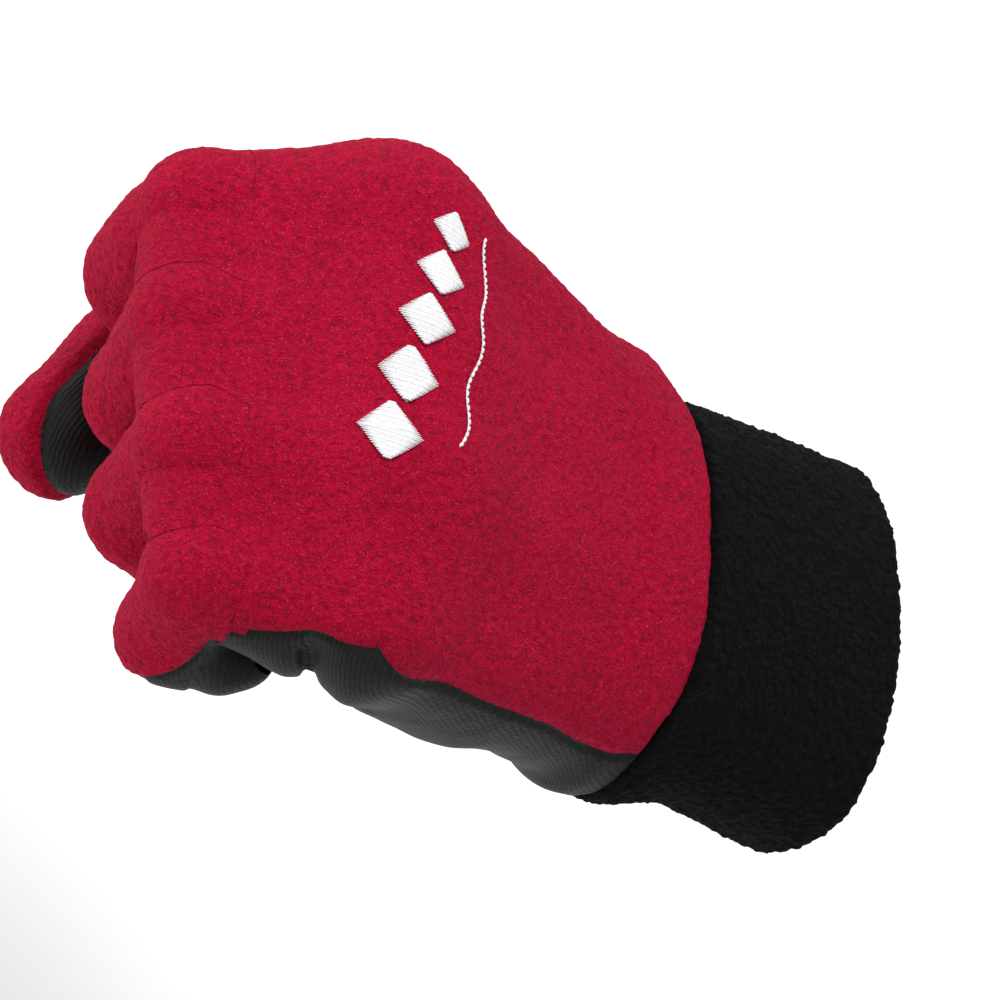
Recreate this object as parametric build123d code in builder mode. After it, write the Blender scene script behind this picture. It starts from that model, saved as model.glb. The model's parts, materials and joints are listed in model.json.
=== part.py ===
"""Left five-finger winter glove, shaped as worn on a closed fist.

Row frame: millimetres, origin at the centre of the cuff opening, +X from the
fingers towards the wrist, +Z out of the back of the hand, +Y to the thumb side.
Every soft panel is a plain closed solid of the right size and place.
"""
from build123d import *
from math import sin, cos, radians, sqrt, atan, degrees
import os

os.makedirs("parts", exist_ok=True)

# ------------------------------------------------------------------ driving sizes
CUFF_AXIS = Vector(0.970, 0.090, 0.227)     # out of the cuff opening
CUFF_LEN = 42.2                             # rim to fleece seam
RIM_W, RIM_D = 35.0, 23.4                   # half width, half depth at the rim
SEAM_W, SEAM_D = 33.8, 22.6                 # half width, half depth at the seam
CUFF_T, HEM_T = 2.4, 1.8                    # outer knit, folded hem
NECK_W, NECK_D, NECK_T = 30.9, 18.3, 0.8    # seam allowance inside the hand shell

WRIST = Vector(-35.5, -3.3, -8.3)           # wrist reference point of the hand frame
WRIST_HINGE = 7.5                           # hinge line, past the seam along the cuff axis

FLEECE, LEATHER, FOAM, LINING = 2.8, 1.6, 1.2, 1.0
KNUCKLE = (-77.5, 0.0, -1.0)                # knuckle hinge line, hand frame
FOLD = 37.2                                 # knuckle flexion of the closed fist
HAND_W, HAND_H, HAND_Y = 95.0, 36.0, -10.4  # knuckle row: width, thickness, centre
PIP_W, PIP_H = 95.2, 29.0                   # knuckle sheet at the finger roots
DIP = {"index": 50.0, "middle": 50.0, "ring": 52.0, "little": 72.0}   # fixed curl of each finger tip

# finger: centre y, distance and height of its middle joint in the knuckle frame,
#         flexion there, middle length, tip length to the tip centre, stall radius
FINGERS = {
    "index":  (22.9, 34.7, 0.5, 81.3, 22.2, 7.6, 11.2),
    "middle": (0.0, 34.6, 0.5, 88.0, 25.0, 8.2, 11.2),
    "ring":   (-22.9, 31.6, 0.2, 83.7, 24.0, 8.2, 11.2),
    "little": (-44.7, 27.6, -4.5, 88.8, 18.5, 9.0, 10.2),
}
STALL_T, STALL_LINING, SIDE_BAND = 1.9, 0.8, 4.5
TIP_BEND = {"index": 12.2, "middle": 12.2, "ring": 12.2, "little": 11.0}                             # centre-line radius of the finger-tip curl

THUMB_ROOT = (-16.0, 26.0, -15.0)           # hand frame
THUMB_BASE = (-50.0, 36.0, -33.0)
THUMB_MID = (-67.8, 24.7, -62.4)
THUMB_TIP = (-81.0, 5.0, -66.0)
THUMB_R, THUMB_ROOT_R = 12.2, 15.0
GAP = 0.4                                   # running clearance of soft shells


def hand(p):
    return WRIST + Vector(*p)


def direction(phi):
    return Vector(-cos(radians(phi)), 0, -sin(radians(phi)))


def normal(phi):
    return Vector(-sin(radians(phi)), 0, cos(radians(phi)))


def section(p, phi):
    """Plane across a stall: x is +Y, y is the back-of-hand side, z points to the wrist."""
    return Plane(origin=p, x_dir=(0, 1, 0), z_dir=direction(phi) * -1)


A = CUFF_AXIS.normalized()
ACROSS = (Vector(0, 1, 0) - A * A.Y).normalized()
KN = hand(KNUCKLE)
SAVED = []


def save(part, name):
    part.label = name
    export_step(part, f"parts/{name}.step")
    SAVED.append(name)


# ------------------------------------------------------------------ cuff
def cuff_plane(s):
    return Plane(origin=A * -s, x_dir=ACROSS, z_dir=A)


def oval_tube(s0, w0, d0, s1, w1, d1, t):
    with BuildPart() as tube:
        with BuildSketch(cuff_plane(s0)):
            Ellipse(w0, d0)
        with BuildSketch(cuff_plane(s1)):
            Ellipse(w1, d1)
        loft()
        with BuildSketch(cuff_plane(s0)):
            Ellipse(w0 - t, d0 - t)
        with BuildSketch(cuff_plane(s1)):
            Ellipse(w1 - t, d1 - t)
        loft(mode=Mode.SUBTRACT)
    return tube


def mid(a, b, s):
    return a + (b - a) * s / CUFF_LEN


with BuildPart() as cuff_outer:
    with BuildSketch(cuff_plane(0)):
        Ellipse(RIM_W, RIM_D)
    with BuildSketch(cuff_plane(CUFF_LEN)):
        Ellipse(SEAM_W, SEAM_D)
    loft()
    with BuildSketch(cuff_plane(3.2)):
        Ellipse(mid(RIM_W, SEAM_W, 3.2) - CUFF_T, mid(RIM_D, SEAM_D, 3.2) - CUFF_T)
    with BuildSketch(cuff_plane(CUFF_LEN)):
        Ellipse(SEAM_W - CUFF_T, SEAM_D - CUFF_T)
    loft(mode=Mode.SUBTRACT)
    with BuildSketch(cuff_plane(-1)):
        Ellipse(RIM_W - CUFF_T - HEM_T, RIM_D - CUFF_T - HEM_T)
    extrude(amount=-6, mode=Mode.SUBTRACT)
    rim = cuff_outer.edges().filter_by(lambda e: abs(e.center().dot(A)) < 0.05).sort_by(SortBy.LENGTH)[-1]
    fillet(rim, radius=2.2)
save(cuff_outer.part, "cuff_outer")

HEM_END = 25.0
cuff_hem = oval_tube(3.25, mid(RIM_W, SEAM_W, 3.25) - CUFF_T - 0.02, mid(RIM_D, SEAM_D, 3.25) - CUFF_T - 0.02,
                     HEM_END, mid(RIM_W, SEAM_W, HEM_END) - CUFF_T - 0.02,
                     mid(RIM_D, SEAM_D, HEM_END) - CUFF_T - 0.02, HEM_T)
save(cuff_hem.part, "cuff_hem")

wrist_elastic = oval_tube(HEM_END + 0.6, mid(RIM_W, SEAM_W, HEM_END) - CUFF_T - 0.08,
                          mid(RIM_D, SEAM_D, HEM_END) - CUFF_T - 0.08,
                          CUFF_LEN - 1.2, SEAM_W - CUFF_T - 0.05, SEAM_D - CUFF_T - 0.05, 1.0)
save(wrist_elastic.part, "wrist_elastic")

with BuildPart() as cuff_neck:
    with BuildSketch(cuff_plane(CUFF_LEN - 1.0)):
        Ellipse(SEAM_W - CUFF_T - 0.06, SEAM_D - CUFF_T - 0.06)
    extrude(amount=-2.0)
    with BuildSketch(cuff_plane(CUFF_LEN + 1.0)):
        Ellipse(NECK_W, NECK_D)
    extrude(amount=-(WRIST_HINGE + 2.0))
    with BuildSketch(cuff_plane(CUFF_LEN - 2)):
        Ellipse(NECK_W - NECK_T, NECK_D - NECK_T)
    extrude(amount=-20, mode=Mode.SUBTRACT)
save(cuff_neck.part, "cuff_seam_allowance")


# ------------------------------------------------------------------ hand shell
START = CUFF_LEN + WRIST_HINGE - 1.6


def hand_loft(inset, end_x=KNUCKLE[0]):
    """Solid of the hand between wrist and knuckle row, inset all round."""
    k = 2 * inset
    with BuildPart() as body:
        with BuildSketch(Plane(origin=A * -START, x_dir=ACROSS, z_dir=A)):
            RectangleRounded(72 - k, 45.6 - k, 21.4 - inset)
        with BuildSketch(Plane(origin=hand((-42, -5.0, -2.6)), x_dir=(0, 1, 0), z_dir=(1, 0, 0))):
            RectangleRounded(82 - k, 41.5 - k, 19.4 - inset)
        with BuildSketch(Plane(origin=hand((-66, HAND_Y, -1.0)), x_dir=(0, 1, 0), z_dir=(1, 0, 0))):
            RectangleRounded(HAND_W - k, HAND_H - k, 17.0 - inset)
        loft()
        with BuildSketch(Plane(origin=hand((-66, HAND_Y, -1.0)), x_dir=(0, 1, 0), z_dir=(1, 0, 0))):
            RectangleRounded(HAND_W - k, HAND_H - k, 17.0 - inset)
        extrude(amount=end_x + 66)
    return body.part


def knuckle_arc(inset_out, inset_in, plane, a0, a1, low=3.0):
    """Half ring of the knuckle section swept about the knuckle hinge line."""
    with BuildPart() as arc:
        with BuildSketch(plane) as sk:
            RectangleRounded(HAND_W - 2 * inset_out, HAND_H - 2 * inset_out, 17.0 - inset_out)
            RectangleRounded(HAND_W - 2 * inset_in, HAND_H - 2 * inset_in, max(17.0 - inset_in, 3), mode=Mode.SUBTRACT)
            with Locations((0, low - 30)):
                Rectangle(200, 60, mode=Mode.SUBTRACT)
        revolve(axis=Axis((KN.X, KN.Y, KN.Z), (0, -1, 0)), revolution_arc=a1 - a0)
    return arc.part


def knuckle_plane(phi):
    return Plane(origin=KN + Vector(0, HAND_Y, 0), x_dir=(0, 1, 0), z_dir=direction(phi) * -1)


L0, L1 = hand_loft(0), hand_loft(LEATHER)
L2, L3 = hand_loft(FLEECE), hand_loft(FLEECE + LINING)
HALF = FOLD / 2

with BuildPart() as upper_half:             # everything on the back-of-hand side of the side seam
    with BuildSketch(Plane(origin=hand((0, 0, 1.0)), x_dir=(1, 0, 0), z_dir=(-0.045, 0, 1))):
        Rectangle(400, 300)
    extrude(amount=80)

# thumb root capsule, fixed to the hand
TR, TB, TM, TT = hand(THUMB_ROOT), hand(THUMB_BASE), hand(THUMB_MID), hand(THUMB_TIP)


def rod(p, q, r, caps=(True, True)):
    """Round rod from p to q, each end flat or domed, turned as one profile."""
    d = q - p
    n = d.length
    c = sqrt(0.5) * r
    side = Vector(0, 0, 1) if abs(d.normalized().Z) < 0.8 else Vector(0, 1, 0)
    side = (side - d.normalized() * side.dot(d.normalized())).normalized()
    with BuildPart() as turnedrod:
        with BuildSketch(Plane(origin=p, x_dir=d, z_dir=side)):
            with BuildLine():
                if caps[0]:
                    ThreePointArc((-r, 0), (-c, c), (0, r))
                else:
                    Line((0, 0), (0, r))
                if n > 1e-6:
                    Line((0, r), (n, r))
                if caps[1]:
                    ThreePointArc((n, r), (n + c, c), (n + r, 0))
                else:
                    Line((n, r), (n, 0))
                Line((n + r if caps[1] else n, 0), (-r if caps[0] else 0, 0))
            make_face()
        revolve(axis=Axis((p.X, p.Y, p.Z), (d.X, d.Y, d.Z)))
    return turnedrod.part


def dome(p, d, r):
    """Half ball at p, its pole towards d."""
    c = sqrt(0.5) * r
    side = Vector(0, 1, 0)
    with BuildPart() as half_ball:
        with BuildSketch(Plane(origin=p, x_dir=d, z_dir=side)):
            with BuildLine():
                Line((0, 0), (0, r))
                ThreePointArc((0, r), (c, c), (r, 0))
                Line((r, 0), (0, 0))
            make_face()
        revolve(axis=Axis((p.X, p.Y, p.Z), (d.X, d.Y, d.Z)))
    return half_ball.part


ROOT_END = TB - (TB - TR).normalized() * 7.0
THUMB_HOLE = rod(TR, TB, THUMB_R + GAP, (True, True))


def turned(shape, origin, axis, deg):
    return shape.rotate(Axis((origin.X, origin.Y, origin.Z), (axis.X, axis.Y, axis.Z)), deg)


THUMB_AXIS = Vector(0.909, 0.405, -0.105).normalized()
THUMB_SWING = 65.0
IP_AXIS = (TM - TB).cross(TT - TM).normalized()
IP_OPEN = 42.0

THUMB_SWEPT = [turned(rod(TB, TM, THUMB_R + GAP), TB, THUMB_AXIS, THUMB_SWING * k / 5) for k in range(6)]

with BuildPart() as back_panel:
    add(L0)
    add(L2, mode=Mode.SUBTRACT)
    add(knuckle_arc(0, FLEECE, knuckle_plane(0), 0, HALF))
    add(upper_half.part, mode=Mode.INTERSECT)
    add(THUMB_HOLE, mode=Mode.SUBTRACT)
save(back_panel.part, "back_panel")

LINING_START = CUFF_LEN + WRIST_HINGE + 3.0 + 5.6   # clear of the seam allowance at full wrist bend
with BuildPart() as wrist_zone:
    with BuildSketch(cuff_plane(LINING_START)):
        Rectangle(300, 200)
    extrude(amount=60)
with BuildPart() as lining_zone:            # linings stop short of the knuckle tongue
    with BuildSketch(Plane(origin=hand((KNUCKLE[0] + 7.5, 0, 0)), x_dir=(0, 1, 0), z_dir=(1, 0, 0))):
        Rectangle(300, 200)
    extrude(amount=120)
    add(wrist_zone.part, mode=Mode.SUBTRACT)

with BuildPart() as back_lining:
    add(hand_loft(FLEECE + 0.02))
    add(L3, mode=Mode.SUBTRACT)
    add(upper_half.part, mode=Mode.INTERSECT)
    add(lining_zone.part, mode=Mode.INTERSECT)
    add(THUMB_HOLE, mode=Mode.SUBTRACT)
save(back_lining.part, "back_lining")

with BuildPart() as palm_zone:              # palm side stops short of the knuckle crease
    with BuildSketch(Plane(origin=hand((KNUCKLE[0] + 6.6, 0, 0)), x_dir=(0, 1, 0), z_dir=(1, 0, 0))):
        Rectangle(300, 200)
    extrude(amount=120)

with BuildPart() as palm_panel:
    add(L0)
    add(L1, mode=Mode.SUBTRACT)
    add(palm_zone.part, mode=Mode.INTERSECT)
    add(upper_half.part, mode=Mode.SUBTRACT)
    add(THUMB_HOLE, mode=Mode.SUBTRACT)
save(palm_panel.part, "palm_panel")

with BuildPart() as palm_lining:
    add(hand_loft(LEATHER + 0.02))
    add(L2, mode=Mode.SUBTRACT)
    add(palm_zone.part, mode=Mode.INTERSECT)
    add(wrist_zone.part, mode=Mode.SUBTRACT)
    add(upper_half.part, mode=Mode.SUBTRACT)
    add(THUMB_HOLE, mode=Mode.SUBTRACT)
save(palm_lining.part, "palm_lining")

# thumb root: leather on the palm side, fleece on the back side
with BuildPart() as root_tube:
    add(rod(TR, ROOT_END, THUMB_ROOT_R, (True, False)))
    add(rod(TR, TB, THUMB_R + GAP, (True, True)), mode=Mode.SUBTRACT)
    add(L0, mode=Mode.SUBTRACT)
    for s in THUMB_SWEPT:
        add(s, mode=Mode.SUBTRACT)
    with BuildSketch(cuff_plane(START + 6.0)):
        Rectangle(300, 200)
    extrude(amount=60, mode=Mode.SUBTRACT)
ROOT_DIR = (TB - TR).normalized()
PALMAR = (Vector(0.25, -0.55, -0.80) - ROOT_DIR * Vector(0.25, -0.55, -0.80).dot(ROOT_DIR)).normalized()
with BuildPart() as root_back_half:
    with BuildSketch(Plane(origin=TR, x_dir=ROOT_DIR, z_dir=PALMAR * -1)):
        Rectangle(200, 120)
    extrude(amount=60)
with BuildPart() as thumb_root_back:
    add(root_tube.part)
    add(root_back_half.part, mode=Mode.INTERSECT)
save(thumb_root_back.part, "thumb_root_back")
with BuildPart() as thumb_root_palm:
    add(root_tube.part)
    add(root_back_half.part, mode=Mode.SUBTRACT)
save(thumb_root_palm.part, "thumb_root_palm")


# ------------------------------------------------------------------ finger geometry
def finger_points(name):
    y, d, h, flex, p2, p3, r = FINGERS[name]
    P1 = KN + direction(FOLD) * d + normal(FOLD) * h + Vector(0, y, 0)
    a2 = FOLD + flex
    P2 = P1 + direction(a2) * p2
    a3 = a2 + DIP[name]
    P3 = P2 + direction(a3) * p3
    return P1, P2, P3, a2, a3, r


def stall_solid(name, inset, ball=True, grow=0.0):
    """Bent finger stall as one solid of the given inset, domed at the tip."""
    P1, P2, P3, a2, a3, r = finger_points(name)
    r = r - inset + grow
    tip = dome(P3, direction(a3), r)
    heel = dome(P1, direction(a2) * -1, r)
    with BuildPart() as s:
        with BuildLine() as path:
            FilletPolyline(P1, P2, P3, radius=TIP_BEND[name])
        with BuildSketch(section(P1, a2)):
            Circle(r)
        sweep(path=path.line)
        add(tip)
        if ball:
            add(heel)
    return s.part


def opened(shape, name, k):
    P1 = finger_points(name)[0]
    return turned(shape, P1, Vector(0, -1, 0), -FINGERS[name][3] * k)


# ------------------------------------------------------------------ knuckle sheet
K0 = HALF + 0.9                             # its top starts past the hand's hood
D0, D1 = 6.2, 34.6


def knuckle_loft(inset, d0=D0, d1=D1):
    k = 2 * inset

    def size(d):
        u = (d - D0) / (D1 - D0)
        return (HAND_W + (PIP_W - HAND_W) * u - k, HAND_H - 0.6 + (PIP_H - HAND_H + 0.6) * u - k,
                16.6 + (13.2 - 16.6) * u - inset, 0.5 * u)

    with BuildPart() as body:
        for d in (d0, d1):
            w, hh, rr, up = size(d)
            with BuildSketch(section(KN + direction(FOLD) * d + normal(FOLD) * up + Vector(0, HAND_Y, 0), FOLD)):
                RectangleRounded(w, hh, min(rr, hh / 2 - 0.1))
        loft()
    return body.part


CLEAR = []
for f in FINGERS:
    big = stall_solid(f, 0, True, GAP)
    CLEAR += [big, opened(big, f, 0.25), opened(big, f, 0.5), opened(big, f, 0.75), opened(big, f, 1.0)]

with BuildPart() as knuckle_upper:
    with BuildSketch(Plane(origin=KN, x_dir=(0, 1, 0), z_dir=normal(FOLD))):
        Rectangle(300, 300)
    extrude(amount=60)

with BuildPart() as root_steps:             # the sheet ends where each finger's stall begins
    for f, (y0, y1) in {"ring": (-34.3, -11.45), "little": (-70, -34.3)}.items():
        d = FINGERS[f][1]
        with BuildSketch(section(KN + direction(FOLD) * d + Vector(0, (y0 + y1) / 2, 0), FOLD)):
            Rectangle(y1 - y0, 80)
        extrude(amount=-30)


def tongue(inset_out, inset_in):
    base = knuckle_arc(inset_out, inset_in, knuckle_plane(FOLD - HALF - 4), 0, 2 * HALF + 8)
    return base


with BuildPart() as knuckle_back:
    add(knuckle_loft(0))
    add(knuckle_loft(FLEECE - 0.4, D0 - 1, D1 + 1), mode=Mode.SUBTRACT)
    add(knuckle_upper.part, mode=Mode.INTERSECT)
    add(root_steps.part, mode=Mode.SUBTRACT)
    for c in CLEAR:
        add(c, mode=Mode.SUBTRACT)
save(knuckle_back.part, "knuckle_back")

with BuildPart() as knuckle_palm:
    add(knuckle_loft(0))
    add(knuckle_loft(LEATHER + 0.4, D0 - 1, D1 + 1), mode=Mode.SUBTRACT)
    add(knuckle_upper.part, mode=Mode.SUBTRACT)
    add(root_steps.part, mode=Mode.SUBTRACT)
    for c in CLEAR:
        add(c, mode=Mode.SUBTRACT)
save(knuckle_palm.part, "knuckle_palm")

knuckle_tongue = tongue(FLEECE + 0.4, FLEECE + 1.5)
save(knuckle_tongue, "knuckle_lining")

for a, b, y in (("index", "middle", 11.45), ("middle", "ring", -11.45), ("ring", "little", -34.3)):
    d_end = min(FINGERS[a][1], FINGERS[b][1]) - 4.5
    with BuildPart() as crotch:
        with BuildSketch(Plane(origin=KN + direction(FOLD) * 20.5 + Vector(0, y - 0.6, 0),
                               x_dir=direction(FOLD), z_dir=(0, 1, 0))):
            with Locations((d_end / 2 - 10.25, 0)):
                Rectangle(d_end - 20.5, 21.0)
        extrude(amount=1.2)
        for c in CLEAR:
            add(c, mode=Mode.SUBTRACT)
    save(crotch.part, f"{a}_{b}_fourchette")


# ------------------------------------------------------------------ finger stalls
def side_region(name, pts, y0, y1):
    with BuildPart() as reg:
        with BuildSketch(Plane(origin=(0, y0, 0), x_dir=(1, 0, 0), z_dir=(0, 1, 0))) as sk:
            with BuildLine():
                Polyline([(p.X, -p.Z) for p in pts], close=True)
            make_face()
        extrude(amount=y1 - y0)
    return reg.part


def stall_regions(name):
    P1, P2, P3, a2, a3, r = finger_points(name)
    n2, n3, d2, d3 = normal(a2), normal(a3), direction(a2), direction(a3)
    m = (n2 + n3) * (1 / (1 + n2.dot(n3)))
    v = normal(FOLD - 4)
    b = SIDE_BAND
    back = [P1, P1 + n2 * b, P2 + m * b, P3 + n3 * b + d3 * 30, P3 + n3 * 30 + d3 * 30,
            P2 + m * 34, P1 + n2 * 30 - d2 * 2, P1 + v * 30]
    front = [P1 - n2 * b, P2 - m * b, P3 - n3 * b + d3 * 30, P3 - n3 * 28 + d3 * 30,
             P2 - m * 20, P1 - n2 * 22]
    side = [P1 - n2 * b, P2 - m * b, P3 - n3 * b + d3 * 30, P3 + n3 * b + d3 * 30, P2 + m * b, P1 + n2 * b]
    return back, front, side


OUTER_SIDE = {"index": +1, "little": -1, "middle": 0, "ring": 0}
for f in FINGERS:
    y, r = KN.Y + FINGERS[f][0], FINGERS[f][6]
    back_pts, front_pts, side_pts = stall_regions(f)
    outer, core = stall_solid(f, 0), stall_solid(f, STALL_T)
    with BuildPart() as cutter:
        add(side_region(f, back_pts, y - 20, y + 20))
        if OUTER_SIDE[f]:
            add(side_region(f, side_pts, min(y, y + 20 * OUTER_SIDE[f]), max(y, y + 20 * OUTER_SIDE[f])))
    with BuildPart() as stall_back:
        add(outer)
        add(core, mode=Mode.SUBTRACT)
        add(cutter.part, mode=Mode.INTERSECT)
    save(stall_back.part, f"{f}_back")
    with BuildPart() as stall_front:
        add(stall_solid(f, 0.4, False))
        add(core, mode=Mode.SUBTRACT)
        add(side_region(f, front_pts, y - 20, y + 20), mode=Mode.INTERSECT)
    save(stall_front.part, f"{f}_front")
    for s, word in ((1, "radial"), (-1, "ulnar")):
        if OUTER_SIDE[f] == s:
            continue
        with BuildPart() as stall_side:
            add(stall_solid(f, 0.1, False))
            add(core, mode=Mode.SUBTRACT)
            add(side_region(f, side_pts, min(y, y + 20 * s), max(y, y + 20 * s)), mode=Mode.INTERSECT)
        save(stall_side.part, f"{f}_{word}_side")
    P1, P2, P3, a2, a3, r = finger_points(f)
    with BuildPart() as stall_lining:
        add(stall_solid(f, STALL_T + 0.02, False))
        add(stall_solid(f, STALL_T + STALL_LINING, True), mode=Mode.SUBTRACT)
    save(stall_lining.part, f"{f}_lining")


# ------------------------------------------------------------------ thumb
T1D, T2D = (TM - TB).normalized(), (TT - TM).normalized()
PAD1 = (T2D - T1D * T2D.dot(T1D)).normalized()           # inside of the bend = pad side
PAD2 = (T1D * -1 + T2D * T1D.dot(T2D)).normalized()


def pad_half(origin, axis, pad, offset):
    with BuildPart() as half:
        with BuildSketch(Plane(origin=origin - pad * offset, x_dir=axis, z_dir=pad)):
            Rectangle(160, 120)
        extrude(amount=60)
    return half.part


tip_big = [turned(rod(TM, TT, THUMB_R + GAP), TM, IP_AXIS, -IP_OPEN * k / 3) for k in range(4)]
with BuildPart() as thumb_proximal:
    add(rod(TB, TM, THUMB_R, (True, False)))
    add(rod(TB, TM, THUMB_R - STALL_T, (True, True)), mode=Mode.SUBTRACT)
    with BuildSketch(Plane(origin=TB - (ROOT_DIR + T1D).normalized() * 5.5, z_dir=(ROOT_DIR + T1D).normalized() * -1)):
        Rectangle(60, 60)
    extrude(amount=30, mode=Mode.SUBTRACT)
    for t in tip_big:
        add(t, mode=Mode.SUBTRACT)
with BuildPart() as thumb_back:
    add(thumb_proximal.part)
    add(pad_half(TB, T1D, PAD1, 0), mode=Mode.SUBTRACT)
save(thumb_back.part, "thumb_back")
with BuildPart() as thumb_front:
    add(thumb_proximal.part)
    add(pad_half(TB, T1D, PAD1, 0), mode=Mode.INTERSECT)
save(thumb_front.part, "thumb_front")

with BuildPart() as tip_shell:
    add(rod(TM, TT, THUMB_R, (True, True)))
    add(rod(TM, TT, THUMB_R - STALL_T, (True, True)), mode=Mode.SUBTRACT)
    with BuildSketch(Plane(origin=TM - (T1D + T2D).normalized() * 4.5, z_dir=(T1D + T2D).normalized() * -1)):
        Rectangle(60, 60)
    extrude(amount=30, mode=Mode.SUBTRACT)
with BuildPart() as thumb_tip_back:
    add(tip_shell.part)
    add(pad_half(TM, T2D, PAD2, -2.0), mode=Mode.SUBTRACT)
save(thumb_tip_back.part, "thumb_tip_back")
with BuildPart() as thumb_tip_front:
    add(tip_shell.part)
    add(pad_half(TM, T2D, PAD2, -2.0), mode=Mode.INTERSECT)
save(thumb_tip_front.part, "thumb_tip_front")
with BuildPart() as thumb_tip_lining:
    add(rod(TM + T2D * 1.0, TT, THUMB_R - STALL_T - 0.02, (False, True)))
    add(rod(TM - T2D * 2, TT, THUMB_R - STALL_T - STALL_LINING, (False, True)), mode=Mode.SUBTRACT)
save(thumb_tip_lining.part, "thumb_tip_lining")

# ------------------------------------------------------------------ embroidery
slope = (HAND_H - 0.6 - PIP_H) / 2 / (D1 - D0) - 0.5 / (D1 - D0)


def top_at(d):
    return (HAND_H - 0.6) / 2 - (d - D0) * slope




TILT = FOLD + degrees(atan(slope))
mark_origin = KN + direction(FOLD) * 14.0 + normal(FOLD) * (top_at(14.0) + 0.05) + Vector(0, -1.0, 0)
MARK = Plane(origin=mark_origin, x_dir=(0, 1, 0), z_dir=normal(TILT))
with BuildPart() as embroidery:
    with BuildSketch(MARK):
        for i in range(5):
            y = -22 + i * 11.0
            w = 7.6 - 0.7 * i
            with Locations(Location((y, 0, 0), 45)):
                Rectangle(w, w)
        with Locations((0, -7.4)):
            Rectangle(46, 1.2)
    extrude(amount=0.8)
save(embroidery.part, "embroidery")

with BuildPart() as embroidery_backing:
    with BuildSketch(Plane(origin=mark_origin - normal(TILT) * (FLEECE + 0.6), x_dir=(0, 1, 0), z_dir=normal(TILT) * -1)):
        RectangleRounded(54, 13, 3)
    extrude(amount=0.6)
save(embroidery_backing.part, "embroidery_backing")

print(len(SAVED), "nodes")
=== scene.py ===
import json
import math

import bpy
import numpy as np
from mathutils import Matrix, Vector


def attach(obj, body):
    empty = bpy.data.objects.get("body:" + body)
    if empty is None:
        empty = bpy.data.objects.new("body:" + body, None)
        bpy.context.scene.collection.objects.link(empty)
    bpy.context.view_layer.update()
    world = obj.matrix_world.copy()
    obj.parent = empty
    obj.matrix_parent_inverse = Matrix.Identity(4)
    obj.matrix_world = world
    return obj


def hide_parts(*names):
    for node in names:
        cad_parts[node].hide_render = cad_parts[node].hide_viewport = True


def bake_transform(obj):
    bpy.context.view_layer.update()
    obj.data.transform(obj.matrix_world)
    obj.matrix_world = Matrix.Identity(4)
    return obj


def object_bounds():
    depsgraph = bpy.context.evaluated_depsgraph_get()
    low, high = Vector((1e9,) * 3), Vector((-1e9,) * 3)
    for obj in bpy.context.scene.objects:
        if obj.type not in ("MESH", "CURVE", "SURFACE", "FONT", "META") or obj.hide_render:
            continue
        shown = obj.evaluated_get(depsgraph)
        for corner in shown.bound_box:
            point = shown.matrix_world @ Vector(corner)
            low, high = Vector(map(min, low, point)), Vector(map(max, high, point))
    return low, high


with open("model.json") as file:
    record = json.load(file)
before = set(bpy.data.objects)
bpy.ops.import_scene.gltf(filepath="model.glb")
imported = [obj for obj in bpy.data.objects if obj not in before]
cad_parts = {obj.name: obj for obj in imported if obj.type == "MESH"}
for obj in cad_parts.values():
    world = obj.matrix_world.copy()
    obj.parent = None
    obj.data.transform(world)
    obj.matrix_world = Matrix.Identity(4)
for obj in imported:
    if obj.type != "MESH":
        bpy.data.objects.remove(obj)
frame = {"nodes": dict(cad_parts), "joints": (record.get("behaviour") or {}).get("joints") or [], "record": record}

import openvdb as vdb
from mathutils import Matrix, Vector

CAD_BOX = [list(v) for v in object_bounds()]
STEP = 0.62            # mesh pitch of the fleece and leather skins, mm
REC = frame["record"]
JOINT = {j["name"]: j for j in frame["joints"]}

# ------------------------------------------------------------------ design numbers (mm), some read from the frame, the rest given here


def vec(*v):
    return np.array(v, float)


def unit(v):
    v = np.asarray(v, float)
    return v / np.linalg.norm(v)


def joint_at(name):
    return np.array(JOINT[name]["pos_m"], float) * 1000


A = unit(REC["mounts"][0]["axis"])                       # out of the cuff opening
ACROSS = unit(vec(0, 1, 0) - A * A[1])
DEEP = np.cross(A, ACROSS)
KN = joint_at("knuckle_fold")
FOLD = JOINT["knuckle_fold"]["range_deg"][1]
WRIST = KN - vec(-77.5, 0, -1.0)
CUFF_LEN = 42.2
NAMES = ["index", "middle", "ring", "little"]
PIP = {f: joint_at(f + "_bend") for f in NAMES}
PIP["index"] = PIP["index"] + vec(0.43, -0.76, -0.23)
FLEX = {f: JOINT[f + "_bend"]["range_deg"][1] for f in NAMES}
DIP = {"index": 50.0, "middle": 50.0, "ring": 52.0, "little": 72.0}
MID_LEN = {"index": 22.2, "middle": 25.0, "ring": 24.0, "little": 18.5}
TIP_LEN = {"index": 7.6, "middle": 8.2, "ring": 8.2, "little": 9.0}
R_PIP = {"index": 11.5, "middle": 11.5, "ring": 11.4, "little": 10.5}
MCP = {"index": WRIST + vec(-81.3, 22.6, -1.7), "middle": WRIST + vec(-77, 0, 0),
       "ring": WRIST + vec(-76.1, -23.2, 0.5), "little": WRIST + vec(-74, -43.6, -6.1)}
R_MCP = {"index": 17.5, "middle": 18.3, "ring": 17.8, "little": 15.0}
TB, TM = joint_at("thumb_swing"), joint_at("thumb_bend")
TT = WRIST + vec(-81, 5, -66)
TR = WRIST + vec(-16, 26, -15)
TD0, TD1, TD2 = unit(TB - TR), unit(TM - TB), unit(TT - TM)
R_THUMB = 12.2


def direction(phi):
    return vec(-math.cos(math.radians(phi)), 0, -math.sin(math.radians(phi)))


def normal(phi):
    return vec(-math.sin(math.radians(phi)), 0, math.cos(math.radians(phi)))


D1, N1 = direction(FOLD), normal(FOLD)

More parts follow.
